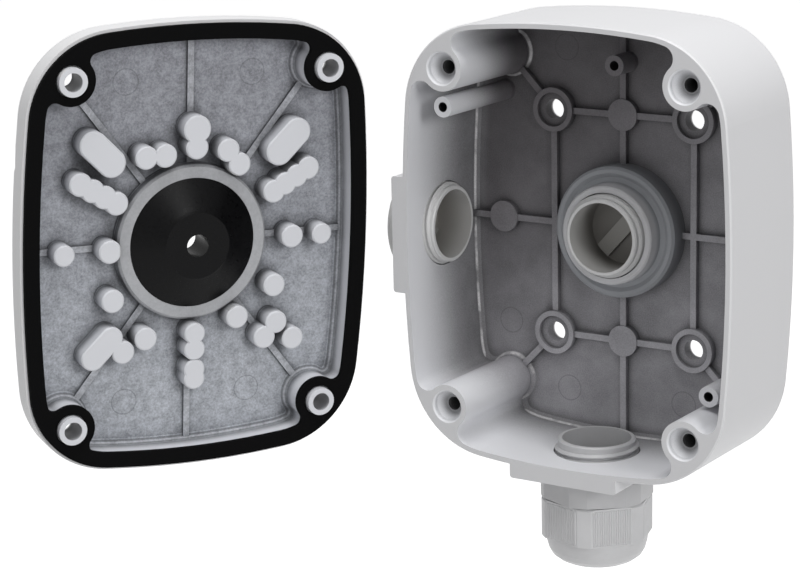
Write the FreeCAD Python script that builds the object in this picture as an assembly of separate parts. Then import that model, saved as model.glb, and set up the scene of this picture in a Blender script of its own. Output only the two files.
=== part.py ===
import FreeCAD, Part
import math
import os

# Camera junction box: a die-cast tray with a rear, a side and a bottom cable entry,
# and its cover standing open at the left with the inside towards the viewer.
# X to the right, Y into the wall, Z up. The wall face of the box lies on Y = 0.
# All sizes are in millimetres.

# Outline that box, cover and gasket share
half_width = 56.4
half_height = 69.2
side_bow = 480.0
end_bow = 285.0
corner_round = 28.0

# Box shell
box_depth = 44.4
wall = 1.9
floor_thick = 3.0
back_round = 2.6
rim_bevel = 0.5
floor_bevel = 1.3

# Cover screws: bosses, recesses and sleeves
screw_inset_x = 15.4
screw_inset_z = 16.0
boss_r = 7.0
boss_neck_round = 3.8
recess_r = 4.85
recess_straight = 1.9
recess_depth = 4.4
recess_foot_r = 2.7
recess_chamfer = 0.5
tapped_r = 2.15
tapped_depth = 16.0
sleeve_clearance = 0.45
sleeve_bore_r = 2.8
sleeve_reach = 1.4
head_bore_r = 4.9
head_bore_depth = 5.0

# Wall fixing pads, ribs and discs on the floor
fix_half_x = 24.4
fix_half_z = 36.0
fix_hole_r = 3.2
pad_r = 7.0
pad_rise = 2.9
pad_bore_r = 5.4
pad_bore_depth = 1.5
rib_width = 2.0
rib_rise = 2.0
rib_root = 0.5
disc_r = 5.0
disc_rise = 2.3
disc_inset_x = 13.4

# Small tapped posts
post_r = 3.2
post_hole_r = 1.5
post_hole_depth = 7.0
post_outside_screw = 1.75
upper_post_below_screw = 12.4
lower_post_above_screw = 11.4
upper_post_gap = 3.4
lower_post_gap = 13.4
centre_post_x = 1.1
centre_post_inset_z = 16.8
centre_post_height = 9.5

# Cable entries: a parallel pipe thread of 3/4 inch
thread_r = 13.2
thread_depth = 1.0
entry_clearance = 0.3
entry_depth = 22.2
entry_pad_half = 18.5
entry_pad_rise = 3.6
entry_pad_back = 2.0
entry_pad_round = 1.0

# Blanking plugs and their washers
plug_bore_r = 10.9
plug_head_r = 17.2
plug_head_thick = 4.7
plug_head_round = 1.6
plug_bottom = 1.6
plug_end_chamfer = 0.4
plug_bar_width = 5.0
plug_bar_rise = 1.7
plug_bar_clearance = 1.2
plug_slot_width = 2.2
plug_slot_depth = 2.0
side_bar_tilt = 48.0
rear_bar_tilt = 48.0
washer_thick = 1.2
washer_r = 16.4
side_plug_length = 9.8
rear_plug_length = 11.6

# Rear entry collar
collar_r = 20.7
collar_rise = 7.9
collar_lip = 2.0
collar_web = 2.0
collar_channel = 0.8
neck_r = 15.5
neck_rise = 12.9
neck_root_r = 16.6
rear_recess_r = 18.3

# Cable gland under the box
gland_washer_thick = 1.2
gland_shank = 11.1
gland_bore_r = 10.8
gland_flats = 33.0
gland_corners_r = 17.6
gland_hex_height = 7.0
gland_collar_r = 14.2
gland_collar_length = 9.5
gland_finger_length = 6.5
gland_finger_tip_r = 12.9
gland_cage_r = 11.7
gland_slit = 1.2
gland_turn = 9.0

# Gland nut and sealing insert
nut_flats = 32.4
nut_gap = 0.3
nut_length = 20.9
nut_grip = 12.4
nut_turn = 15.5
nut_clearance = 0.4
nut_mouth_r = 9.4
NUT_DOME = [(0.984, 0.035), (0.935, 0.26), (0.84, 0.52), (0.68, 0.73), (0.40, 0.895), (0.13, 0.99)]
nut_shoulder_r = 12.6
seal_clearance = 0.3
seal_bore_r = 8.0
seal_length = 14.0

# Cover
gasket_gap = 0.3
gasket_thick = 1.5
gasket_edge = 0.9
gasket_width = 4.7
gasket_loop_r = 7.5
gasket_hole_clearance = 0.4
cover_height = 11.3
cover_skin = 2.3
cover_rim = 5.0
cover_edge_round = 5.0
cover_floor_bevel = 1.8
cover_lobe_r = 7.2
cover_corner = 2.4
cover_rib_rise = 1.0

# Grommet in the middle of the cover
ring_r = 24.6
ring_bore_r = 20.2
ring_rise = 4.1
grommet_clearance = 0.1
grommet_hole_r = 3.5
grommet_top_r = 10.9
grommet_rise = 4.4
grommet_neck_r = 17.0

# Camera bosses behind the blind holes of the cover, as seen from inside:
# each group is (boss radius, [(distance from the centre, angle in degrees), ...])
camera_hole_r = 1.65
camera_hole_depth = 6.5
camera_boss_rise = 7.3
camera_boss_bevel = 0.4
slot_circle_r = 46.5
slot_inner_r = 38.4
outer_circle_r = 42.6
side_hole_r = 42.0
inner_circle_r = 29.5
bar_step = (outer_circle_r - inner_circle_r) / 3.0
large_boss_r = 4.4
camera_boss_r = 3.6
CAPSULES = [
    (large_boss_r, [(slot_circle_r, 135.0), (slot_inner_r, 135.0)]),
    (large_boss_r, [(slot_circle_r, 45.0), (slot_inner_r, 45.0)]),
    (camera_boss_r + 0.15, [(slot_circle_r, -135.0), (slot_inner_r, -135.0)]),
]
CLUSTERS = [
    (large_boss_r, [(35.7, 90.0)]),
    (camera_boss_r, [(30.1, 90.0)]),
    (camera_boss_r, [(32.4, 120.0), (30.0, 109.6)]),
    (camera_boss_r, [(30.4, 70.4), (27.8, 60.0)]),
    (camera_boss_r, [(inner_circle_r + k * bar_step, 30.0) for k in range(4)]),
    (camera_boss_r, [(inner_circle_r + k * bar_step, 150.0) for k in range(4)]),
    (camera_boss_r - 0.2, [(28.2, -90.0), (33.3, -90.0), (39.7, -90.0), (outer_circle_r, -90.0)]),
    (camera_boss_r - 0.3, [(side_hole_r, 180.0), (side_hole_r, 0.0)]),
    (camera_boss_r, [(27.6, 180.0), (32.0, 0.0)]),
    (camera_boss_r, [(30.3, -30.0), (30.8, -150.0), (28.0, -60.0), (32.5, -119.5)]),
    (camera_boss_r, [(slot_circle_r, -45.0), (slot_inner_r, -45.0), (39.3, -53.7)]),
    (camera_boss_r, [(39.4, -126.2)]),
]

# The open cover turns about an upright line just outside the left entry pad
hinge_gap = 2.5
hinge_back = 1.6
hinge_lean_x = 0.0336
hinge_lean_y = -0.018
open_angle = 120.4

# Places, planes and radii that follow from the sizes above
screw_half_x = half_width - screw_inset_x
screw_half_z = half_height - screw_inset_z
disc_half_x = half_width - disc_inset_x
post_half_x = screw_half_x + post_outside_screw
upper_post_z = screw_half_z - upper_post_below_screw
lower_post_z = lower_post_above_screw - screw_half_z
centre_post_z = half_height - centre_post_inset_z
rim_y = -box_depth
floor_y = -floor_thick
entry_y = -entry_depth
entry_bore_r = thread_r + entry_clearance
shank_r = thread_r - thread_depth
side_face_x = -(half_width + entry_pad_rise)
bottom_face_z = -(half_height + entry_pad_rise)
gasket_y = rim_y - gasket_gap
land_y = gasket_y - gasket_thick
cover_face_y = land_y - cover_height
cover_floor_y = cover_face_y + cover_skin
sleeve_tip_y = rim_y + sleeve_reach
sleeve_r = recess_r - sleeve_clearance
rear_seat_y = floor_y - collar_rise + collar_web
gland_z = bottom_face_z - gland_washer_thick
gland_hex_z = gland_z - gland_hex_height
nut_top_z = gland_hex_z - nut_gap


def corner_frame():
    """Centre of the upper right corner round and the directions to its two ends."""
    side = V(half_width - side_bow, 0, 0)
    end = V(0, 0, half_height - end_bow)
    reach_side = side_bow - corner_round
    reach_end = end_bow - corner_round
    span = end.sub(side)
    dist = span.Length
    along = (reach_side ** 2 - reach_end ** 2 + dist ** 2) / (2 * dist)
    across = math.sqrt(reach_side ** 2 - along ** 2)
    unit = span.multiply(1.0 / dist)
    normal = V(-unit.z, 0, unit.x)
    centre = side.add(unit * along).add(normal * across)
    to_side = centre.sub(side).normalize()
    to_end = centre.sub(end).normalize()
    return centre, to_side, to_end


def V(x, y, z):
    return FreeCAD.Vector(x, y, z)


def arc(first, middle, last):
    return Part.Arc(first, middle, last).toShape()


def outline_wire(inset, y):
    """Closed outline of the box at height y, moved inwards by inset."""
    centre, to_side, to_end = corner_frame()
    radius = corner_round - inset
    middle = to_side.add(to_end).normalize()
    quarter = [centre.add(to_side * radius), centre.add(middle * radius), centre.add(to_end * radius)]
    ring = []
    for sx, sz in ((1, 1), (-1, 1), (-1, -1), (1, -1)):
        points = [V(sx * p.x, y, sz * p.z) for p in quarter]
        if sx * sz < 0:
            points.reverse()
        ring.append(points)
    mids = [V(0, y, half_height - inset), V(inset - half_width, y, 0),
            V(0, y, inset - half_height), V(half_width - inset, y, 0)]
    edges = []
    for k in range(4):
        edges.append(arc(*ring[k]))
        edges.append(arc(ring[k][2], mids[k], ring[(k + 1) % 4][0]))
    return Part.Wire(edges)


def outline_prism(inset, y_front, y_back):
    face = Part.Face(outline_wire(inset, y_front))
    return face.extrude(V(0, y_back - y_front, 0))


def rod(x, z, radius, y_front, y_back):
    return Part.makeCylinder(radius, y_back - y_front, V(x, y_front, z), V(0, 1, 0))


def block(x0, y0, z0, x1, y1, z1):
    return Part.makeBox(x1 - x0, y1 - y0, z1 - z0, V(x0, y0, z0))


def four(half_x, half_z):
    return [(-half_x, half_z), (half_x, half_z), (-half_x, -half_z), (half_x, -half_z)]


def revolve(profile, axis):
    """Turned solid about Y, X or Z; profile is a list of (radius, height along the axis)."""
    place = {"x": lambda r, h: V(h, 0, r), "y": lambda r, h: V(r, h, 0), "z": lambda r, h: V(r, 0, h)}[axis]
    direction = {"x": V(1, 0, 0), "y": V(0, 1, 0), "z": V(0, 0, 1)}[axis]
    points = [place(r, h) for r, h in profile]
    face = Part.Face(Part.makePolygon(points + points[:1]))
    return face.revolve(V(0, 0, 0), direction, 360)


def edges_where(shape, test):
    return [e for e in shape.Edges if test(e)]


def edge_box(edge):
    return edge.BoundBox


def flat_at(edge, y):
    bb = edge_box(edge)
    return abs(bb.YMin - y) < 1e-3 and abs(bb.YMax - y) < 1e-3


def rib(x0, z0, x1, z1, base_y, rise):
    """Rib on a floor at base_y, standing towards -Y by rise."""
    length = math.hypot(x1 - x0, z1 - z0)
    body = Part.makeBox(length, rise + rib_root, rib_width, V(0, base_y - rise, -rib_width / 2))
    body.rotate(V(0, 0, 0), V(0, 1, 0), -math.degrees(math.atan2(z1 - z0, x1 - x0)))
    body.translate(V(x0, 0, z0))
    return body


def round_lobes(radius, y_front, y_back):
    return [rod(x, z, radius, y_front, y_back) for x, z in four(screw_half_x, screw_half_z)]


def on_lobe(edge, radius):
    """True for an upright edge that lies on one of the four lobes."""
    bb = edge_box(edge)
    upright = bb.YLength > 1 and bb.XLength < 0.01 and bb.ZLength < 0.01
    reach = math.hypot(abs(bb.XMin) - screw_half_x, abs(bb.ZMin) - screw_half_z)
    return upright and abs(reach - radius) < 0.01


def with_lobes(hollow, outline, radius, y_front, y_back, corner):
    """Takes four lobes out of a hollow and rounds the corners where they meet its outline."""
    hollow = hollow.cut(round_lobes(radius, y_front, y_back))
    meeting = edges_where(hollow, lambda e: on_lobe(e, radius) and e.distToShape(outline)[0] < 0.01)
    return hollow.makeFillet(corner, meeting)


def box_pocket():
    """Hollow of the box inside its wall and round its four screw bosses."""
    hollow = outline_prism(wall, rim_y - 1, floor_y)
    hollow = with_lobes(hollow, outline_wire(wall, floor_y), boss_r, rim_y - 2, 0, boss_neck_round)
    return hollow.makeChamfer(floor_bevel, edges_where(hollow, lambda e: flat_at(e, floor_y)))


def outer_shell():
    shell = outline_prism(0, rim_y, 0)
    shell = shell.makeFillet(back_round, edges_where(shell, lambda e: flat_at(e, 0)))
    return shell.makeChamfer(rim_bevel, edges_where(shell, lambda e: flat_at(e, rim_y)))


def entry_pads():
    """Flat pads for the side and the bottom entry, level with the rim."""
    side = block(side_face_x, rim_y, -entry_pad_half, -half_width + 6, -entry_pad_back, entry_pad_half)
    side = side.makeFillet(entry_pad_round, edges_where(side, lambda e: long_edge_at(e, "x", side_face_x)))
    low = block(-entry_pad_half, rim_y, bottom_face_z, entry_pad_half, -entry_pad_back, -half_height + 6)
    low = low.makeFillet(entry_pad_round, edges_where(low, lambda e: long_edge_at(e, "z", bottom_face_z)))
    return [side, low]


def long_edge_at(edge, axis, value):
    """True for an edge along Y that lies at value on the given axis."""
    bb = edge_box(edge)
    place = bb.XMin if axis == "x" else bb.ZMin
    return bb.YLength > 1 and abs(place - value) < 1e-3


def rear_collar():
    """Raised collar of the rear entry with its lip, channel and inner neck."""
    lip_y = floor_y - collar_rise
    channel_y = lip_y + collar_channel
    neck_y = floor_y - neck_rise
    profile = [
        (entry_bore_r, floor_y + 0.5), (collar_r, floor_y + 0.5),
        (collar_r, lip_y + 0.8), (collar_r - 0.8, lip_y), (collar_r - collar_lip, lip_y),
        (neck_root_r + 0.9, channel_y), (neck_root_r - 0.5, channel_y - 0.7),
        (neck_r, neck_y + 0.5), (neck_r - 0.5, neck_y), (entry_bore_r, neck_y),
    ]
    return revolve(profile, "y")


def floor_relief():
    """Pads, discs and ribs that stand on the floor of the box."""
    parts = [rod(x, z, pad_r, floor_y - pad_rise, floor_y + 0.5) for x, z in four(fix_half_x, fix_half_z)]
    discs = [(0, fix_half_z), (0, -fix_half_z), (-disc_half_x, 0), (disc_half_x, 0)]
    parts += [rod(x, z, disc_r, floor_y - disc_rise, floor_y + 0.5) for x, z in discs]
    reach_x = half_width - wall + rib_root
    reach_z = half_height - wall + rib_root
    lines = [(-reach_x, 0, reach_x, 0), (0, -reach_z, 0, reach_z)]
    lines += [(-fix_half_x, z, fix_half_x, z) for z in (-fix_half_z, fix_half_z)]
    lines += [(x, -fix_half_z, x, fix_half_z) for x in (-fix_half_x, fix_half_x)]
    corners = zip(four(fix_half_x, fix_half_z), four(screw_half_x, screw_half_z))
    lines += [(a[0], a[1], b[0], b[1]) for a, b in corners]
    return parts + [rib(x0, z0, x1, z1, floor_y, rib_rise) for x0, z0, x1, z1 in lines]


def post(x, z, front_y):
    """Small tapped post on the floor of the box, cut clear of the ribs that it stands on."""
    body = rod(x, z, post_r, front_y, floor_y)
    hole = rod(x, z, post_hole_r, front_y - 1, front_y + post_hole_depth)
    return body.cut([hole] + floor_relief()).removeSplitter()


def upper_post():
    return post(-post_half_x, upper_post_z, rim_y + upper_post_gap)


def lower_post():
    return post(post_half_x, lower_post_z, rim_y + lower_post_gap)


def centre_post():
    return post(centre_post_x, centre_post_z, floor_y - centre_post_height)


def screw_recess(x, z):
    """Recess for a cover sleeve with its chamfered mouth, and the tapped hole below."""
    recess = revolve([
        (0, rim_y - 1), (recess_r + recess_chamfer, rim_y - 1), (recess_r + recess_chamfer, rim_y),
        (recess_r, rim_y + recess_chamfer), (recess_r, rim_y + recess_straight),
        (recess_foot_r, rim_y + recess_depth), (0, rim_y + recess_depth),
    ], "y")
    recess.translate(V(x, 0, z))
    return [recess, rod(x, z, tapped_r, rim_y, rim_y + recess_depth + tapped_depth)]


def box_holes():
    cuts = []
    for x, z in four(screw_half_x, screw_half_z):
        cuts += screw_recess(x, z)
    for x, z in four(fix_half_x, fix_half_z):
        cuts.append(rod(x, z, pad_bore_r, floor_y - pad_rise - 1, floor_y - pad_rise + pad_bore_depth))
        cuts.append(rod(x, z, fix_hole_r, floor_y - pad_rise - 1, 1))
    cuts.append(rod(0, 0, entry_bore_r, floor_y - neck_rise - 1, 1))
    cuts.append(rod(0, 0, rear_recess_r, rear_seat_y, 1))
    cuts.append(Part.makeCylinder(entry_bore_r, 20, V(side_face_x - 1, entry_y, 0), V(1, 0, 0)))
    cuts.append(Part.makeCylinder(entry_bore_r, 20, V(0, entry_y, bottom_face_z - 1), V(0, 0, 1)))
    return cuts


def box_body():
    shell = outer_shell().fuse(entry_pads())
    shell = shell.cut(box_pocket())
    return shell.fuse(floor_relief() + [rear_collar()]).cut(box_holes()).removeSplitter()


def plug(length, bar_tilt):
    """Blanking plug along +Z: the head's underside lies on Z = 0 and the hollow shank runs up."""
    head = -plug_head_thick
    body = revolve([
        (0, head), (plug_head_r - plug_head_round, head),
        (plug_head_r - 0.3 * plug_head_round, head + 0.3 * plug_head_round),
        (plug_head_r, head + plug_head_round), (plug_head_r, 0), (shank_r, 0),
        (shank_r, length - plug_end_chamfer), (shank_r - plug_end_chamfer, length), (0, length),
    ], "z")
    body = body.cut(Part.makeCylinder(plug_bore_r, length + 10, V(0, 0, head + plug_bottom)))
    half = plug_bar_width / 2
    bar_end = plug_bore_r - plug_bar_clearance
    bar = block(-bar_end, -half, head + 1, bar_end, half, head + plug_bottom + plug_bar_rise)
    slot_half = plug_slot_width / 2
    slot = block(1 - bar_end, -slot_half, head - 1, bar_end - 1, slot_half, head + plug_slot_depth)
    bar = bar.cut(slot)
    bar.rotate(V(0, 0, 0), V(0, 0, 1), bar_tilt)
    slot.rotate(V(0, 0, 0), V(0, 0, 1), bar_tilt)
    return body.cut(slot).fuse(bar).removeSplitter()


def plug_washer():
    ring = Part.makeCylinder(washer_r, washer_thick)
    return ring.cut(Part.makeCylinder(entry_bore_r, washer_thick))


def onto_side(shape, x):
    """Turns a part built along +Z so that it runs along +X from the side entry."""
    shape.rotate(V(0, 0, 0), V(0, 1, 0), 90)
    shape.translate(V(x, entry_y, 0))
    return shape


def onto_back(shape, y):
    """Turns a part built along +Z so that it runs along -Y from the rear entry."""
    shape.rotate(V(0, 0, 0), V(1, 0, 0), 90)
    shape.translate(V(0, y, 0))
    return shape


def side_plug():
    return onto_side(plug(side_plug_length, side_bar_tilt), side_face_x - washer_thick)


def side_plug_washer():
    return onto_side(plug_washer(), side_face_x - washer_thick)


def rear_plug():
    return onto_back(plug(rear_plug_length, rear_bar_tilt), rear_seat_y + washer_thick)


def rear_plug_washer():
    return onto_back(plug_washer(), rear_seat_y + washer_thick)


def hexagon(flats, z, height):
    """Hexagon bar about Z with one corner towards -Y."""
    radius = flats / math.sqrt(3)
    points = [V(radius * math.sin(math.radians(60 * k)), -radius * math.cos(math.radians(60 * k)), z)
              for k in range(6)]
    return Part.Face(Part.makePolygon(points + points[:1])).extrude(V(0, 0, height))


def gland_body():
    """Gland body: threaded shank, hexagon, collar for the nut and clamping fingers."""
    tip_z = gland_hex_z - gland_collar_length - gland_finger_length
    grip = hexagon(gland_flats, gland_hex_z, gland_hex_height)
    grip = grip.common(Part.makeCylinder(gland_corners_r, gland_hex_height, V(0, 0, gland_hex_z)))
    grip = grip.cut(Part.makeCylinder(gland_cage_r, gland_hex_height, V(0, 0, gland_hex_z)))
    top = gland_z + gland_shank
    shank = revolve([
        (gland_bore_r, gland_hex_z), (shank_r, gland_hex_z), (shank_r, top - plug_end_chamfer),
        (shank_r - plug_end_chamfer, top), (gland_bore_r, top),
    ], "z")
    cage = revolve([
        (gland_cage_r, gland_hex_z + 2), (gland_collar_r, gland_hex_z + 2),
        (gland_collar_r, gland_hex_z - gland_collar_length), (gland_finger_tip_r, tip_z),
        (gland_cage_r, tip_z),
    ], "z")
    neck = grip.fuse([shank, cage])
    slits = []
    for k in range(3):
        slit = block(-20, -gland_slit / 2, tip_z - 1, 20, gland_slit / 2, tip_z + gland_finger_length - 0.8)
        slit.rotate(V(0, 0, 0), V(0, 0, 1), 60 * k)
        slits.append(slit)
    step = Part.makeCylinder(gland_cage_r, gland_hex_height - 2.4, V(0, 0, gland_hex_z - 0.1))
    body = neck.cut(slits + [step]).removeSplitter()
    body.rotate(V(0, 0, 0), V(0, 0, 1), gland_turn)
    body.translate(V(0, entry_y, 0))
    return body


def gland_washer():
    ring = Part.makeCylinder(washer_r, gland_washer_thick, V(0, entry_y, gland_z))
    return ring.cut(Part.makeCylinder(thread_r, gland_washer_thick, V(0, entry_y, gland_z)))


def gland_nut():
    """Dome nut of the gland: hexagonal grip, round dome and open mouth."""
    end_z = nut_top_z - nut_length
    grip_z = nut_top_z - nut_grip
    grip = revolve([
        (0, nut_top_z), (gland_corners_r - 0.5, nut_top_z), (gland_corners_r, nut_top_z - 0.5),
        (gland_corners_r, grip_z), (0, grip_z),
    ], "z").common(hexagon(nut_flats, grip_z, nut_grip))
    edge_r = nut_mouth_r + 0.6
    span = nut_flats / 2 - edge_r
    curve = [(edge_r + out * span, grip_z - down * (grip_z - end_z)) for out, down in NUT_DOME]
    dome = revolve([(0, grip_z + 1), (curve[0][0], grip_z + 1)] + curve + [(edge_r, end_z), (0, end_z)], "z")
    body = grip.fuse(dome)
    finger_top_z = gland_hex_z - gland_collar_length - 0.6
    finger_end_z = finger_top_z - gland_finger_length
    inside = revolve([
        (0, nut_top_z + 1), (gland_collar_r + nut_clearance, nut_top_z + 1),
        (gland_collar_r + nut_clearance, finger_top_z),
        (gland_finger_tip_r + nut_clearance + 0.2, finger_end_z),
        (nut_shoulder_r - 0.6, end_z + 2.4), (nut_mouth_r, end_z + 2.0),
        (nut_mouth_r, end_z - 1), (0, end_z - 1),
    ], "z")
    body = body.cut(inside).removeSplitter()
    body.rotate(V(0, 0, 0), V(0, 0, 1), nut_turn)
    body.translate(V(0, entry_y, 0))
    return body


def gland_seal():
    """Rubber insert that the nut squeezes round the cable."""
    low = nut_top_z - nut_length + 2.7
    outer = gland_cage_r - seal_clearance
    body = revolve([
        (seal_bore_r, low), (outer - 0.6, low), (outer, low + 1), (outer, low + seal_length),
        (seal_bore_r + 0.8, low + seal_length), (seal_bore_r, low + seal_length - 0.8),
    ], "z")
    body.translate(V(0, entry_y, 0))
    return body


def open_cover(shape):
    """Swings a piece from its closed place on the rim to where the cover stands."""
    base = V(side_face_x - hinge_gap, rim_y + hinge_back, 0)
    shape.rotate(base, V(hinge_lean_x, hinge_lean_y, 1), -open_angle)
    return shape


def cover_gasket():
    inner = gasket_edge + gasket_width
    hollow = outline_prism(inner, land_y - 1, gasket_y + 1)
    line = outline_wire(inner, gasket_y)
    hollow = with_lobes(hollow, line, gasket_loop_r, land_y - 2, gasket_y + 2, cover_corner)
    ring = outline_prism(gasket_edge, land_y, gasket_y).cut(hollow)
    hole = sleeve_r + gasket_hole_clearance
    holes = [rod(x, z, hole, land_y, gasket_y) for x, z in four(screw_half_x, screw_half_z)]
    return open_cover(ring.cut(holes).removeSplitter())


def boss_place(distance, angle):
    """Place of a camera boss on the closed cover, from its angle as seen from inside."""
    turn = math.radians(angle)
    return -distance * math.cos(turn), distance * math.sin(turn)


def boss_profile(radius):
    """Half section of a camera boss with its bevelled top: (radius, height) from the axis out."""
    top = cover_floor_y + camera_boss_rise
    base = cover_floor_y - 0.5
    edge = radius - camera_boss_bevel
    return [(0, base), (radius, base), (radius, top - camera_boss_bevel), (edge, top), (0, top)]


def camera_boss(radius, distance, angle):
    x, z = boss_place(distance, angle)
    body = revolve(boss_profile(radius), "y")
    body.translate(V(x, 0, z))
    return body


def boss_bar(radius, places):
    """Straight bar of the same section between two bosses."""
    (x0, z0), (x1, z1) = [boss_place(d, a) for d, a in places]
    half = boss_profile(radius)[1:4]
    points = [V(0, h, r) for r, h in half] + [V(0, h, -r) for r, h in reversed(half)]
    bar = Part.Face(Part.makePolygon(points + points[:1])).extrude(V(math.hypot(x1 - x0, z1 - z0), 0, 0))
    bar.rotate(V(0, 0, 0), V(0, 1, 0), -math.degrees(math.atan2(z1 - z0, x1 - x0)))
    bar.translate(V(x0, 0, z0))
    return bar


def camera_bosses():
    bars = [boss_bar(radius, places) for radius, places in CAPSULES]
    return bars + [camera_boss(radius, d, a) for radius, places in CAPSULES + CLUSTERS for d, a in places]


def camera_holes():
    cuts = []
    for _, places in CAPSULES + CLUSTERS:
        for distance, angle in places:
            x, z = boss_place(distance, angle)
            cuts.append(rod(x, z, camera_hole_r, cover_face_y - 1, cover_face_y + camera_hole_depth))
    return cuts


def cover_rib(x0, z0, x1, z1):
    """Rib on the cover's floor, standing towards the box."""
    return rib(x0, z0, x1, z1, cover_floor_y + cover_rib_rise - rib_root, cover_rib_rise)


def cover_ribs():
    inner_x = half_width - cover_rim
    inner_z = half_height - cover_rim
    lines = [(-inner_x, 0, -ring_bore_r, 0), (ring_bore_r, 0, inner_x, 0)]
    lines += [(0, ring_bore_r, 0, inner_z), (0, -inner_z, 0, -ring_bore_r)]
    span = math.hypot(screw_half_x, screw_half_z)
    near = ring_bore_r / span
    lines += [(x * near, z * near, x, z) for x, z in four(screw_half_x, screw_half_z)]
    return [cover_rib(*line) for line in lines]


def cover_shell():
    shell = outline_prism(0, cover_face_y, land_y)
    shell = shell.makeFillet(cover_edge_round, edges_where(shell, lambda e: flat_at(e, cover_face_y)))
    hollow = outline_prism(cover_rim, cover_floor_y, land_y + 1)
    line = outline_wire(cover_rim, cover_floor_y)
    hollow = with_lobes(hollow, line, cover_lobe_r, cover_floor_y - 1, land_y + 2, cover_corner)
    hollow = hollow.makeChamfer(cover_floor_bevel, edges_where(hollow, lambda e: flat_at(e, cover_floor_y)))
    shell = shell.cut(hollow)
    sleeves = [rod(x, z, sleeve_r, land_y - 0.5, sleeve_tip_y) for x, z in four(screw_half_x, screw_half_z)]
    ring = revolve([
        (ring_bore_r - 2, cover_floor_y - 0.5), (ring_r, cover_floor_y - 0.5),
        (ring_r - 0.3, cover_floor_y + ring_rise - 0.7), (ring_r - 1.0, cover_floor_y + ring_rise),
        (ring_bore_r - 2, cover_floor_y + ring_rise),
    ], "y")
    shell = shell.fuse(sleeves + cover_ribs() + [ring] + camera_bosses())
    cuts = [rod(0, 0, ring_bore_r, cover_floor_y, cover_floor_y + ring_rise + 1),
            rod(0, 0, grommet_neck_r, cover_face_y - 1, cover_floor_y + 1)]
    for x, z in four(screw_half_x, screw_half_z):
        cuts.append(rod(x, z, sleeve_bore_r, cover_face_y - 1, sleeve_tip_y + 1))
        cuts.append(rod(x, z, head_bore_r, cover_face_y - 1, cover_face_y + head_bore_depth))
    return open_cover(shell.cut(cuts + camera_holes()).removeSplitter())


def cable_grommet():
    """Rubber plug that closes the middle of the cover, with a hole for the camera lead."""
    low = cover_face_y
    step = cover_floor_y
    shoulder = step + ring_rise
    top = shoulder + grommet_rise
    outer = ring_bore_r - grommet_clearance
    neck = grommet_neck_r - grommet_clearance
    body = revolve([
        (grommet_hole_r, low), (grommet_hole_r, top), (grommet_top_r - 0.6, top),
        (grommet_top_r, top - 0.3), (outer, shoulder), (outer, step), (neck, step), (neck, low),
    ], "y")
    return open_cover(body)


NODES = {
    "box_body": box_body,
    "upper_post": upper_post,
    "lower_post": lower_post,
    "centre_post": centre_post,
    "gland_body": gland_body,
    "gland_washer": gland_washer,
    "gland_seal": gland_seal,
    "gland_nut": gland_nut,
    "side_plug": side_plug,
    "side_plug_washer": side_plug_washer,
    "rear_plug": rear_plug,
    "rear_plug_washer": rear_plug_washer,
    "cover_shell": cover_shell,
    "cover_gasket": cover_gasket,
    "cable_grommet": cable_grommet,
}

os.makedirs("parts", exist_ok=True)
for name, build in NODES.items():
    build().exportStep("parts/" + name + ".step")
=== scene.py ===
import math

import bmesh
import bpy
from mathutils import Matrix, Vector


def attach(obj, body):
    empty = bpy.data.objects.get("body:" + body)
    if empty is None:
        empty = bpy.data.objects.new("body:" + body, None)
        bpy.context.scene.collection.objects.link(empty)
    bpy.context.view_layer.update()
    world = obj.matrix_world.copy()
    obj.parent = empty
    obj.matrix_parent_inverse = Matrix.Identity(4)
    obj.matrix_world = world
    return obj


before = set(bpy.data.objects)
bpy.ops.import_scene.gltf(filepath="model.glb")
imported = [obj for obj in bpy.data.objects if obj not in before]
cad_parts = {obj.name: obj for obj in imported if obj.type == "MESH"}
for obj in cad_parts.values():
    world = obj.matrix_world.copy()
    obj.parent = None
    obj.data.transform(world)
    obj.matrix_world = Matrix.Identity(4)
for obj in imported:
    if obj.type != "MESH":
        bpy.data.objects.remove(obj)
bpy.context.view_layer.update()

MM = 0.001

# Sizes of the part that the pieces and the materials follow, in millimetres and degrees
half_width = 56.4
half_height = 69.2
side_bow = 480.0
end_bow = 285.0
corner_round = 28.0
corner_x = 26.643
corner_z = 39.815
far_away = 100.0
wall = 1.9
rim_y = -44.4
floor_y = -3.0
foot_y = -4.9
paint_full_y = -43.0
paint_gone_y = -10.0
screw_x = 41.0
screw_z = 53.2
boss_r = 7.0
posts = [(-42.75, 40.8), (42.75, -41.8), (1.1, 52.4)]
post_hole_r = 1.5
tapped_r = 2.15
tapped_y = -40.0
collar_r = 20.7
neck_y = -15.9
entry_y = -22.2
plug_bore_r = 10.9
nut_flats = 32.4
nut_top_z = -81.3
nut_grip_z = -93.7
nut_turn = 15.5
root_r = 12.2
crest_r = 13.2
pitch = 1.814
side_thread_x = -60.9
side_thread_length = 9.1
rear_thread_y = -8.6
rear_thread_length = 10.3
gland_thread_z = -73.6
gland_thread_length = 10.0
tapped_thread_y = -39.9
tapped_thread_length = 9.0
tapped_tip_r = 1.8
tapped_pitch = 0.7
tapped_sides = 28
rib_step = 0.74
ribs_beside = 8
cover_floor_y = -55.2
ring_r = 24.7
box_inside_depth = 1.0
box_inside_back = -0.7
cover_inside_depth = 4.2
box_marks = [(-20.7, 55.6), (20.7, 55.6), (-41.8, -34.6), (-20.4, -54.5), (20.4, -54.5)]
cover_marks = [(-20.4, 51.0), (20.4, 50.0), (20.4, -49.9), (-20.4, -49.9)]
box_mark_r = 4.1
cover_mark_r = 4.0
mark_half = 0.3
hinge_base = (-62.5, -42.8, 0.0)
hinge_axis = (0.0336, -0.018, 1.0)
open_angle = 120.4

# Studio: places in metres, the camera's turn in radians and its lens in millimetres
camera_place = (0.368575, -0.691327, 0.170628)
camera_turn = (1.3331642, 0.0213880, 0.5773289)
camera_lens = 114.7895
floor_level = -0.32
world_light = 0.29
aim = (0.0, -0.03, 0.0)


# Node graph helper

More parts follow.
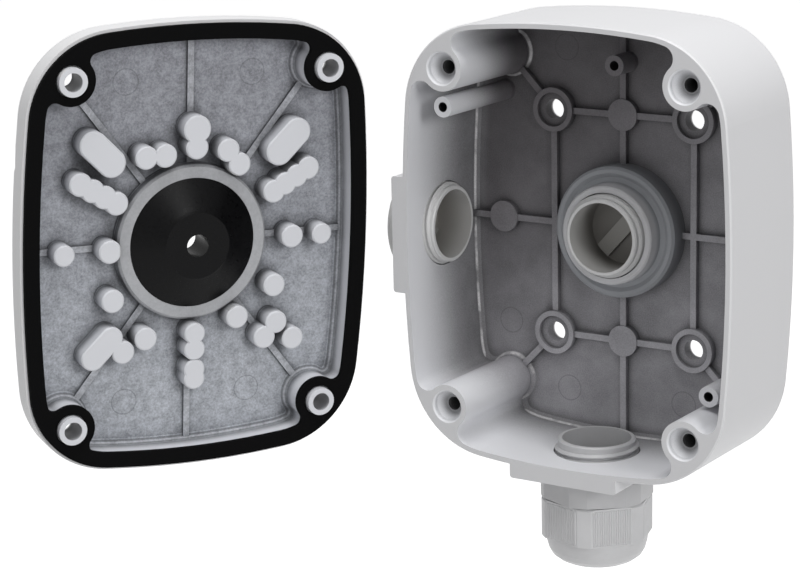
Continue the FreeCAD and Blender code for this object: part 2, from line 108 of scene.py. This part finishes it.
class Paint:
    """One material: adds nodes, links them and keeps its shader."""

    def __init__(self, name, **values):
        self.material = bpy.data.materials.new(name)
        self.material.use_nodes = True
        self.tree = self.material.node_tree
        self.tree.nodes.clear()
        output = self.tree.nodes.new("ShaderNodeOutputMaterial")
        self.shader = self.tree.nodes.new("ShaderNodeBsdfPrincipled")
        self.tree.links.new(self.shader.outputs[0], output.inputs[0])
        for key, value in values.items():
            self.shader.inputs[key.replace("_", " ")].default_value = value
        self.coord = self.tree.nodes.new("ShaderNodeTexCoord").outputs["Object"]

    def feed(self, socket, value):
        if isinstance(value, bpy.types.NodeSocket):
            self.tree.links.new(value, socket)
        else:
            socket.default_value = value

    def math(self, operation, *values, clamp=False):
        node = self.tree.nodes.new("ShaderNodeMath")
        node.operation = operation
        node.use_clamp = clamp
        for socket, value in zip(node.inputs, values):
            self.feed(socket, value)
        return node.outputs[0]

    def times(self, first, *others):
        for value in others:
            first = self.math("MULTIPLY", first, value)
        return first

    def plus(self, first, second):
        return self.math("ADD", first, second)

    def minus(self, first, second):
        return self.math("SUBTRACT", first, second)

    def below(self, value, limit):
        return self.math("LESS_THAN", value, limit)

    def above(self, value, limit):
        return self.math("GREATER_THAN", value, limit)

    def fade(self, value, low, high, to_low=0.0, to_high=1.0):
        """Smooth step of value from low to high."""
        node = self.tree.nodes.new("ShaderNodeMapRange")
        node.interpolation_type = "SMOOTHSTEP"
        for key, entry in (("Value", value), ("From Min", low), ("From Max", high),
                           ("To Min", to_low), ("To Max", to_high)):
            self.feed(node.inputs[key], entry)
        return node.outputs[0]

    def mix(self, share, first, second):
        node = self.tree.nodes.new("ShaderNodeMix")
        node.data_type = "RGBA"
        self.feed(node.inputs[0], share)
        self.feed(node.inputs[6], first)
        self.feed(node.inputs[7], second)
        return node.outputs[2]

    def noise(self, scale, detail, rough, coord=None):
        node = self.tree.nodes.new("ShaderNodeTexNoise")
        node.inputs["Scale"].default_value = scale
        node.inputs["Detail"].default_value = detail
        node.inputs["Roughness"].default_value = rough
        self.tree.links.new(coord or self.coord, node.inputs["Vector"])
        return node.outputs[0]

    def xyz(self, coord=None):
        """The three coordinates in millimetres."""
        node = self.tree.nodes.new("ShaderNodeSeparateXYZ")
        self.tree.links.new(coord or self.coord, node.inputs[0])
        return [self.math("MULTIPLY", out, 1000.0) for out in node.outputs]

    def placed(self, matrix):
        """Object coordinates taken through a rigid matrix."""
        node = self.tree.nodes.new("ShaderNodeMapping")
        node.inputs["Location"].default_value = matrix.to_translation()
        node.inputs["Rotation"].default_value = matrix.to_euler("XYZ")
        self.tree.links.new(self.coord, node.inputs["Vector"])
        return node.outputs[0]

    def reach(self, x, z, cx, cz):
        """Distance of (x, z) from the point (cx, cz)."""
        dx = self.minus(x, cx)
        dz = self.minus(z, cz)
        return self.math("SQRT", self.plus(self.times(dx, dx), self.times(dz, dz)))

    def inset(self, x, z):
        """Distance inwards from the rounded outline that box and cover share, and |x| and |z|."""
        ax = self.math("ABSOLUTE", x)
        az = self.math("ABSOLUTE", z)
        side = self.minus(side_bow, self.reach(ax, az, half_width - side_bow, 0.0))
        end = self.minus(end_bow, self.reach(ax, az, 0.0, half_height - end_bow))
        near = self.minus(corner_round, self.reach(ax, az, corner_x, corner_z))
        in_corner = self.times(self.above(ax, corner_x), self.above(az, corner_z))
        near = self.plus(near, self.times(self.minus(1.0, in_corner), far_away))
        return self.math("MINIMUM", self.math("MINIMUM", side, end), near), ax, az

    def painted_corner_shade(self, distance, low, high, least):
        """Painted shade: least in corners and at the foot of what stands up, one in the open."""
        node = self.tree.nodes.new("ShaderNodeAmbientOcclusion")
        node.samples = 8
        node.only_local = True
        node.inputs["Distance"].default_value = distance * MM
        return self.fade(node.outputs["AO"], low, high, least, 1.0)

    def bump(self, height, distance, strength):
        node = self.tree.nodes.new("ShaderNodeBump")
        node.inputs["Distance"].default_value = distance
        node.inputs["Strength"].default_value = strength
        self.tree.links.new(height, node.inputs["Height"])
        self.tree.links.new(node.outputs[0], self.shader.inputs["Normal"])

    def shaded(self, base, value):
        """Feeds the base colour, made darker or lighter by value."""
        node = self.tree.nodes.new("ShaderNodeHueSaturation")
        self.feed(node.inputs["Color"], base)
        self.feed(node.inputs["Value"], value)
        self.colour(node.outputs[0])

    def colour(self, value):
        self.feed(self.shader.inputs["Base Color"], value)

    def rough(self, value):
        self.feed(self.shader.inputs["Roughness"], value)


def rgb(r, g, b):
    return (r, g, b, 1.0)


def marks(p, x, z, places, radius):
    """One where a thin round mark of an ejector pin runs, zero elsewhere."""
    total = 0.0
    for cx, cz in places:
        off = p.math("ABSOLUTE", p.minus(p.reach(x, z, cx, cz), radius))
        total = p.math("MAXIMUM", total, p.fade(off, 0.0, mark_half, 1.0, 0.0))
    return total


# Materials. Their tones were matched to the photograph, so part of its shading is in them.

def worn_line(p, y, depth, off_screw):
    """Thin patchy line where the floor meets the walls and the screw bosses."""
    off_boss = p.minus(off_screw, boss_r)
    edge = p.math("MINIMUM", p.minus(depth, wall + 0.1), p.minus(off_boss, 0.7))
    line = p.fade(p.math("ABSOLUTE", edge), 0.2, 0.5, 1.0, 0.0)
    foot = p.times(p.fade(y, foot_y, foot_y + 0.4), p.below(y, -1.0))
    patchy = p.fade(p.noise(110.0, 3.0, 0.6), 0.36, 0.56, 0.15, 1.0)
    return p.times(line, foot, patchy, p.above(depth, box_inside_depth))


def bare_box_with_shade(p, x, z, depth, ring):
    """Tone of the bare casting with painted shade and light: dark at the upper left of the floor,
    which the walls shade, light at the lower right, where the light falls.
    """
    shade_slant = p.minus(z, p.times(x, 0.7))
    bare = p.mix(p.fade(shade_slant, -48.0, 60.0), rgb(0.335, 0.33, 0.35), rgb(0.1, 0.094, 0.1))
    bare = p.mix(p.fade(depth, wall + 0.3, wall + 5.0), rgb(0.2, 0.198, 0.207), bare)
    return p.mix(p.times(ring, 0.32), bare, rgb(0.035, 0.034, 0.036))


def collar_tone(p, y):
    """Smooth grey of the rear collar, lighter on its neck."""
    lip = p.mix(p.fade(y, -11.0, -4.5), rgb(0.33, 0.34, 0.36), rgb(0.2, 0.204, 0.214))
    return p.mix(p.fade(y, neck_y + 2.5, neck_y + 5.0), rgb(0.58, 0.58, 0.595), lip)


def shaded_holes(p, base, x, y, z, off_screw):
    """Painted shade: darker bottoms of the screw recesses and dark tapped and post holes."""
    sunk = p.times(p.fade(off_screw, 2.4, 4.6, 1.0, 0.0), p.fade(y, rim_y + 0.3, rim_y + 3.0),
                   p.below(y, tapped_y + 0.2))
    base = p.mix(p.times(sunk, 0.55), base, rgb(0.12, 0.12, 0.125))
    hole = p.times(p.below(off_screw, tapped_r + 0.1), p.above(y, tapped_y + 0.1))
    for cx, cz in posts:
        hole = p.math("MAXIMUM", hole, p.below(p.reach(x, z, cx, cz), post_hole_r + 0.02))
    return p.mix(p.times(hole, p.below(y, floor_y - 0.2)), base, rgb(0.03, 0.03, 0.031))


def box_paint():
    """Light paint outside that fades to the bare dark casting on the floor of the box; deeper in, the
    darkening is partly painted shade.
    """
    p = Paint("box_casting", Metallic=0.0, IOR=1.45)
    x, y, z = p.xyz()
    depth, ax, az = p.inset(x, z)
    off_screw = p.reach(ax, az, screw_x, screw_z)
    blotch = p.noise(70.0, 4.0, 0.6)
    grain = p.noise(2700.0, 3.0, 0.7)
    fine = p.noise(5200.0, 2.0, 0.6)
    inside = p.times(p.above(depth, box_inside_depth), p.above(y, rim_y + 0.06),
                     p.below(y, box_inside_back))
    collar = p.times(p.below(p.reach(x, z, 0.0, 0.0), collar_r + 0.1), p.below(y, floor_y - 0.3))
    outside_collar = p.minus(1.0, collar)

    # paint fades from the rim to the bare floor, and deeper in this is partly painted shade; on the
    # lower wall, which faces up, the light tone reaches further in: painted light
    wander = p.times(p.minus(blotch, 0.5), 7.0)
    lower = p.fade(z, -62.0, -46.0, 12.0, 0.0)
    painted = p.fade(p.minus(p.plus(y, wander), lower), paint_full_y, paint_gone_y, 1.0, 0.0)
    bare_and_shade_share = p.times(inside, p.minus(1.0, painted))
    rough_share = p.times(bare_and_shade_share, outside_collar)
    ring = p.times(marks(p, x, z, box_marks, box_mark_r), p.above(y, floor_y - 0.4))

    # the paint inside is a little lighter than outside: painted light against the shade of the walls
    base = p.mix(inside, rgb(0.71, 0.71, 0.725), rgb(0.74, 0.745, 0.77))
    base = p.mix(bare_and_shade_share, base, bare_box_with_shade(p, x, z, depth, ring))
    worn = p.times(worn_line(p, y, depth, off_screw), 0.9)
    base = p.mix(worn, base, rgb(0.72, 0.71, 0.72))
    base = p.mix(collar, base, collar_tone(p, y))
    base = shaded_holes(p, base, x, y, z, off_screw)

    # ribs, discs and pads are a little lighter than the floor they stand on: painted light on their
    # tops
    raised_top_light = p.times(p.fade(y, foot_y + 0.3, foot_y), p.fade(depth, wall + 1.0, wall + 2.0))
    speck = p.plus(p.fade(grain, 0.3, 0.7, -0.16, 0.16), p.fade(blotch, 0.3, 0.7, -0.14, 0.14))
    speck = p.plus(speck, p.times(raised_top_light, 0.3))
    # the rim's front faces are a little darker: painted shade
    rim_front_shade = p.fade(y, rim_y + 0.04, rim_y + 0.1, 0.89, 1.0)
    # corners and feet inside are darker: painted shade
    crease_shade = p.minus(1.0, p.painted_corner_shade(distance=5.0, low=0.35, high=0.9, least=0.45))
    corner_shade = p.minus(1.0, p.times(inside, outside_collar, crease_shade))
    p.shaded(base, p.times(p.plus(1.0, p.times(rough_share, speck)), rim_front_shade, corner_shade))
    p.rough(p.plus(0.46, p.times(bare_and_shade_share, 0.22)))
    height = p.times(fine, p.plus(0.2, rough_share))
    p.bump(p.minus(height, p.times(ring, 1.2)), distance=0.00006, strength=0.5)
    return p.material


def cover_speck(p, local, grain):
    """Uneven brightness of the cover's bare casting, from fine dots to soft clouds."""
    dots = p.noise(3600.0, 1.0, 0.5, local)
    clouds = p.noise(330.0, 2.0, 0.5, local)
    speck = p.plus(p.fade(grain, 0.3, 0.7, -0.22, 0.22), p.fade(dots, 0.35, 0.7, -0.08, 0.1))
    return p.plus(speck, p.fade(clouds, 0.3, 0.7, -0.13, 0.13))


def cover_paint(matrix):
    """Light paint outside, speckled casting on the cover's floor, lighter boss tops and ring; painted
    light on rib tops and towards the bottom of the floor, painted shade towards its top, at the feet
    of bosses and in corners.
    """
    p = Paint("cover_casting", Metallic=0.0, IOR=1.45)
    local = p.placed(matrix)
    x, y, z = p.xyz(local)
    depth = p.inset(x, z)[0]
    height = p.minus(y, cover_floor_y)
    grain = p.noise(1300.0, 4.0, 0.7, local)
    blotch = p.noise(60.0, 3.0, 0.55, local)
    inside = p.times(p.above(depth, cover_inside_depth), p.above(height, -1.2))
    ring = marks(p, x, z, cover_marks, cover_mark_r)
    ring = p.times(ring, p.below(height, 0.4), inside)
    rib = p.times(p.fade(height, 0.7, 0.95), p.fade(height, 1.15, 1.4, 1.0, 0.0))

    # bare near the floor, with more paint beside the rim
    uneven = p.plus(height, p.times(p.minus(blotch, 0.5), 1.5))
    beside_rim = p.times(p.below(depth, cover_inside_depth + 1.0), 0.35)
    bare_and_shade_share = p.times(inside, p.fade(uneven, 0.2, 6.2, 1.0, 0.0), p.minus(1.0, beside_rim))

    # the bare floor is lighter towards the bottom and darker towards the top: painted light and shade
    bare = p.mix(p.fade(z, -66.0, 66.0), rgb(0.445, 0.465, 0.505), rgb(0.315, 0.322, 0.355))
    bare = p.mix(p.times(ring, 0.55), bare, rgb(0.15, 0.155, 0.17))
    # rib tops are lighter: painted light
    bare = p.mix(p.times(rib, 0.4), bare, rgb(0.54, 0.55, 0.58))
    paint = p.mix(inside, rgb(0.74, 0.74, 0.75), rgb(0.68, 0.69, 0.725))
    band = p.times(p.below(p.reach(x, z, 0.0, 0.0), ring_r), p.above(height, -0.5))
    paint = p.mix(band, paint, rgb(0.5, 0.505, 0.52))
    base = p.mix(bare_and_shade_share, paint, bare)

    # the sides of bosses are darker towards the floor, and corners and feet darker: painted shade
    stands = p.math("MULTIPLY", p.above(height, 0.3), p.minus(inside, rib), clamp=True)
    foot = p.minus(1.0, p.times(stands, p.fade(height, 0.3, 6.0, 0.5, 0.0)))
    value = p.plus(1.0, p.times(bare_and_shade_share, cover_speck(p, local, grain)))
    p.shaded(base, p.times(value, foot, p.painted_corner_shade(distance=6.0, low=0.35, high=0.95, least=0.36)))
    p.rough(p.plus(0.46, p.times(bare_and_shade_share, 0.2)))
    p.bump(p.minus(p.times(grain, p.plus(0.15, bare_and_shade_share)), ring), distance=0.00007, strength=0.5)
    return p.material


def plastic(name):
    """A plastic's paint with its fine eroded texture, and the noise of its faint uneven tone."""
    p = Paint(name, Metallic=0.0, IOR=1.49)
    fine = p.noise(2600.0, 3.0, 0.6)
    p.bump(fine, distance=0.00004, strength=0.35)
    return p, fine, p.fade(p.noise(95.0, 3.0, 0.55), 0.3, 0.7)


def moulded(name, tone, roughness):
    """Satin moulded plastic with a faint uneven tone."""
    p, fine, cloud = plastic(name)
    p.colour(p.mix(cloud, rgb(*[c * 0.965 for c in tone]), rgb(*[c * 1.035 for c in tone])))
    p.rough(p.fade(fine, 0.2, 0.8, roughness - 0.05, roughness + 0.06))
    return p.material


def plug_paint(name, axis, mouth, deep, bottom, dark, bar_shade_tone):
    """Moulded plug along X (axis 0) or Y (axis 1), with painted shade in its hollow, darker from
    mouth to deep.
    """
    p, fine, cloud = plastic(name)
    coords = p.xyz()
    along_axis = coords[axis]
    if axis == 0:
        radius = p.reach(coords[1], coords[2], entry_y, 0.0)
    else:
        radius = p.reach(coords[0], coords[2], 0.0, 0.0)
    past = math.copysign(0.15, deep - mouth)
    above_bottom = p.fade(along_axis, bottom + past, bottom + 1.6 * past, 1.0, 0.0)
    hollow = p.times(p.below(radius, plug_bore_r + 0.05), above_bottom)
    # inside the hollow the colour darkens from mouth to deep, the bar with its own tone: painted
    # shade
    deep_shade_tone = rgb(dark, dark * 0.96, dark * 0.9)
    hollow_shade = p.mix(p.fade(along_axis, mouth, deep), rgb(0.45, 0.445, 0.435), deep_shade_tone)
    bar = p.times(p.below(radius, plug_bore_r - 1.1), p.fade(along_axis, bottom, deep))
    hollow_shade = p.mix(bar, hollow_shade, rgb(bar_shade_tone, bar_shade_tone * 0.98, bar_shade_tone * 0.93))
    tone = p.mix(cloud, rgb(0.55, 0.55, 0.55), rgb(0.59, 0.59, 0.59))
    p.colour(p.mix(hollow, tone, hollow_shade))
    p.rough(p.fade(fine, 0.2, 0.8, 0.37, 0.48))
    return p.material


def rubber(name, tone, roughness, grain, lift, specular):
    """Matt or glossy rubber with an uneven tone."""
    p = Paint(name, Metallic=0.0, IOR=1.5)
    p.shader.inputs["Specular IOR Level"].default_value = specular
    fine = p.noise(grain, 4.0, 0.65)
    darker = rgb(*[c * 0.8 for c in tone])
    lighter = rgb(*[c * 1.25 for c in tone])
    p.colour(p.mix(p.fade(fine, 0.3, 0.7), darker, lighter))
    p.rough(p.fade(fine, 0.2, 0.8, roughness - 0.05, roughness + 0.06))
    p.bump(fine, distance=lift, strength=0.5)
    return p.material


def closed_matrix():
    """Takes a point of the open cover to its place on the closed cover."""
    base = Vector(hinge_base) * MM
    turn = Matrix.Rotation(math.radians(open_angle), 4, Vector(hinge_axis))
    return Matrix.Translation(base) @ turn @ Matrix.Translation(-base)


rear_grey = plug_paint("rear_plug_plastic", axis=1, mouth=-17.0, deep=-6.2, bottom=-4.7,
                       dark=0.19, bar_shade_tone=0.3)
side_grey = plug_paint("side_plug_plastic", axis=0, mouth=-52.0, deep=-62.9, bottom=-64.6,
                       dark=0.27, bar_shade_tone=0.2)
gland_grey = moulded("gland_plastic", (0.495, 0.495, 0.505), roughness=0.42)
nut_grey = moulded("nut_plastic", (0.61, 0.61, 0.62), roughness=0.4)
casting = box_paint()
FINISHES = {
    "box_body": casting,
    "upper_post": casting,
    "lower_post": casting,
    "centre_post": casting,
    "cover_shell": cover_paint(closed_matrix()),
    "side_plug": side_grey,
    "rear_plug": rear_grey,
    "gland_body": gland_grey,
    "gland_nut": nut_grey,
    "gland_washer": rubber("washer_rubber", (0.40, 0.40, 0.40), roughness=0.6, grain=2200.0,
                           lift=0.00004, specular=0.4),
    "gland_seal": rubber("seal_rubber", (0.03, 0.03, 0.03), roughness=0.6, grain=2200.0,
                         lift=0.00004, specular=0.4),
    "cover_gasket": rubber("gasket_rubber", (0.003, 0.003, 0.0032), roughness=0.85, grain=3000.0,
                           lift=0.0001, specular=0.06),
    "cable_grommet": rubber("grommet_rubber", (0.0022, 0.0022, 0.0026), roughness=0.3, grain=900.0,
                            lift=0.00001, specular=0.1),
}
FINISHES["side_plug_washer"] = FINISHES["gland_washer"]
FINISHES["rear_plug_washer"] = FINISHES["gland_washer"]

for node, material in FINISHES.items():
    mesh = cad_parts[node].data
    mesh.materials.clear()
    mesh.materials.append(material)


# Pieces

def add_piece(name, bm, body, material):
    """Makes a smooth object of the mesh that rides with a body."""
    mesh = bpy.data.meshes.new(name)
    bmesh.ops.recalc_face_normals(bm, faces=bm.faces)
    bm.to_mesh(mesh)
    bm.free()
    obj = bpy.data.objects.new(name, mesh)
    bpy.context.scene.collection.objects.link(obj)
    mesh.materials.append(material)
    for polygon in mesh.polygons:
        polygon.use_smooth = True
    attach(obj, body)


def sweep(bm, rings):
    """Skins a row of equal closed rings and caps its two ends."""
    rows = [[bm.verts.new(point) for point in ring] for ring in rings]
    count = len(rows[0])
    for first, second in zip(rows, rows[1:]):
        for k in range(count):
            bm.faces.new((first[k], first[(k + 1) % count], second[(k + 1) % count], second[k]))
    bm.faces.new(rows[0][::-1])
    bm.faces.new(rows[-1])


def thread(bm, place, length, root, crest, step, sides=48, sunk=0.12):
    """Helical ridge along local +Z from 0 to length, with thin ends; place maps it into the frame.

    A crest inside the root makes the thread of a hole.
    """
    depth = crest - root
    base = root - math.copysign(sunk, depth)
    profile = [(base, -0.47), (root + 0.15 * depth, -0.36), (root + 0.9 * depth, -0.11), (crest, 0.0),
               (root + 0.9 * depth, 0.11), (root + 0.15 * depth, 0.36), (base, 0.47)]
    steps = int((length - step) / step * sides)
    run_out = sides * 0.3
    rings = []
    for i in range(steps + 1):
        angle = 2 * math.pi * i / sides
        height = step / 2 + step * i / sides
        share = 0.15 + 0.85 * min(1.0, i / run_out, (steps - i) / run_out)
        ring = []
        for radius, offset in profile:
            r = base + (radius - base) * share
            point = Vector((r * math.cos(angle), r * math.sin(angle), height + offset * step))
            ring.append(place @ (point * MM))
        rings.append(ring)
    sweep(bm, rings)


def along(direction, origin):
    """Frame whose +Z runs along direction from origin (millimetres)."""
    turn = Vector((0, 0, 1)).rotation_difference(Vector(direction)).to_matrix().to_4x4()
    return Matrix.Translation(Vector(origin) * MM) @ turn


def shank_thread(name, direction, origin, length, body, material):
    bm = bmesh.new()
    thread(bm, along(direction, origin), length, root_r, crest_r, pitch)
    add_piece(name, bm, body, material)


def shank_threads():
    """Pipe threads on the shanks of the two plugs and of the gland."""
    shank_thread("side_plug_thread", (1, 0, 0), (side_thread_x, entry_y, 0), side_thread_length,
                 "side_plug_turn", side_grey)
    shank_thread("rear_plug_thread", (0, -1, 0), (0, rear_thread_y, 0), rear_thread_length,
                 "rear_plug_turn", rear_grey)
    shank_thread("gland_thread", (0, 0, 1), (0, entry_y, gland_thread_z), gland_thread_length,
                 "box", gland_grey)


def screw_threads():
    """Cut threads in the four tapped holes of the box."""
    bm = bmesh.new()
    for sx in (-1, 1):
        for sz in (-1, 1):
            place = along((0, 1, 0), (sx * screw_x, tapped_thread_y, sz * screw_z))
            thread(bm, place, tapped_thread_length, tapped_r, tapped_tip_r, tapped_pitch,
                   tapped_sides, sunk=0.05)
    add_piece("tapped_hole_threads", bm, "box", casting)


def grip_rib(bm, middle, tangent, normal):
    """One upright rib with a rounded back that is sunk into its flat and fades at both ends."""
    outline = [(-0.3, -0.15), (-0.24, 0.1), (-0.1, 0.22), (0.1, 0.22), (0.24, 0.1), (0.3, -0.15)]
    heights = [(nut_top_z - 0.6, 0.3), (nut_top_z - 1.1, 1.0),
               (nut_grip_z + 1.0, 1.0), (nut_grip_z + 0.5, 0.3)]
    rings = []
    for z, lift in heights:
        ring = []
        for a, b in outline:
            out = b if b < 0 else b * lift
            ring.append((middle + tangent * a + normal * out + Vector((0, 0, z))) * MM)
        rings.append(ring)
    sweep(bm, rings)


def nut_ribs():
    """Fine upright grip ribs on the six flats of the gland nut, with smooth corners."""
    bm = bmesh.new()
    for side in range(6):
        angle = math.radians(nut_turn + 60 * side)
        normal = Vector((math.cos(angle), math.sin(angle), 0))
        tangent = Vector((-math.sin(angle), math.cos(angle), 0))
        centre = Vector((0, entry_y, 0)) + normal * (nut_flats / 2)
        for k in range(-ribs_beside, ribs_beside + 1):
            grip_rib(bm, centre + tangent * (rib_step * k), tangent, normal)
    add_piece("nut_grip_ribs", bm, "gland_nut_turn", nut_grey)


shank_threads()
screw_threads()
nut_ribs()


# Camera, floor, world and lights

def make_camera():
    """Camera at the place fitted to the photograph."""
    lens = bpy.data.cameras.new("camera")
    lens.lens = camera_lens
    lens.sensor_width = 36.0
    lens.clip_start = 0.01
    lens.clip_end = 50.0
    camera = bpy.data.objects.new("camera", lens)
    camera.location = camera_place
    camera.rotation_euler = camera_turn
    bpy.context.scene.collection.objects.link(camera)
    bpy.context.scene.camera = camera


def backdrop_share(tree):
    """One for the rays that see the background: from the camera, in gloss and through glass."""
    path = tree.nodes.new("ShaderNodeLightPath")
    first = tree.nodes.new("ShaderNodeMath")
    first.operation = "MAXIMUM"
    second = tree.nodes.new("ShaderNodeMath")
    second.operation = "MAXIMUM"
    tree.links.new(path.outputs["Is Camera Ray"], first.inputs[0])
    tree.links.new(path.outputs["Is Glossy Ray"], first.inputs[1])
    tree.links.new(first.outputs[0], second.inputs[0])
    tree.links.new(path.outputs["Is Transmission Ray"], second.inputs[1])
    return second.outputs[0]


def make_floor():
    """Plain pale floor that shows white and keeps the object's shadow."""
    bm = bmesh.new()
    bmesh.ops.create_grid(bm, x_segments=1, y_segments=1, size=9.0)
    mesh = bpy.data.meshes.new("floor")
    bm.to_mesh(mesh)
    bm.free()
    floor = bpy.data.objects.new("floor", mesh)
    floor.location = (0, 0, floor_level)
    bpy.context.scene.collection.objects.link(floor)
    material = bpy.data.materials.new("floor_white")
    material.use_nodes = True
    tree = material.node_tree
    tree.nodes.clear()
    output = tree.nodes.new("ShaderNodeOutputMaterial")
    total = tree.nodes.new("ShaderNodeAddShader")
    diffuse = tree.nodes.new("ShaderNodeBsdfDiffuse")
    diffuse.inputs["Color"].default_value = rgb(0.8, 0.8, 0.8)
    glow = tree.nodes.new("ShaderNodeEmission")
    strength = tree.nodes.new("ShaderNodeMath")
    strength.operation = "MULTIPLY"
    strength.inputs[1].default_value = 0.8
    tree.links.new(backdrop_share(tree), strength.inputs[0])
    tree.links.new(strength.outputs[0], glow.inputs["Strength"])
    tree.links.new(diffuse.outputs[0], total.inputs[0])
    tree.links.new(glow.outputs[0], total.inputs[1])
    tree.links.new(total.outputs[0], output.inputs[0])
    mesh.materials.append(material)


def make_world():
    """White background with a weaker even light on the object."""
    world = bpy.data.worlds.new("studio")
    world.use_nodes = True
    tree = world.node_tree
    tree.nodes.clear()
    output = tree.nodes.new("ShaderNodeOutputWorld")
    ground = tree.nodes.new("ShaderNodeBackground")
    strength = tree.nodes.new("ShaderNodeMapRange")
    strength.inputs["To Min"].default_value = world_light
    strength.inputs["To Max"].default_value = 1.0
    tree.links.new(backdrop_share(tree), strength.inputs["Value"])
    tree.links.new(strength.outputs[0], ground.inputs["Strength"])
    tree.links.new(ground.outputs[0], output.inputs[0])
    bpy.context.scene.world = world


def area_light(name, place, size, power):
    """Round soft lamp that looks at the object."""
    data = bpy.data.lights.new(name, "AREA")
    data.shape = "DISK"
    data.size = size
    data.energy = power
    light = bpy.data.objects.new(name, data)
    light.location = place
    sight = Vector(aim) - Vector(place)
    light.rotation_euler = sight.to_track_quat("-Z", "Y").to_euler()
    bpy.context.scene.collection.objects.link(light)


make_camera()
make_floor()
make_world()
area_light("top_light", (0.1, -0.3, 1.2), size=0.9, power=12.0)
area_light("right_light", (1.1, -0.55, 0.4), size=0.45, power=5.2)
area_light("front_light", (0.1, -1.3, 0.35), size=0.7, power=1.3)

bpy.context.scene.view_settings.view_transform = "Standard"
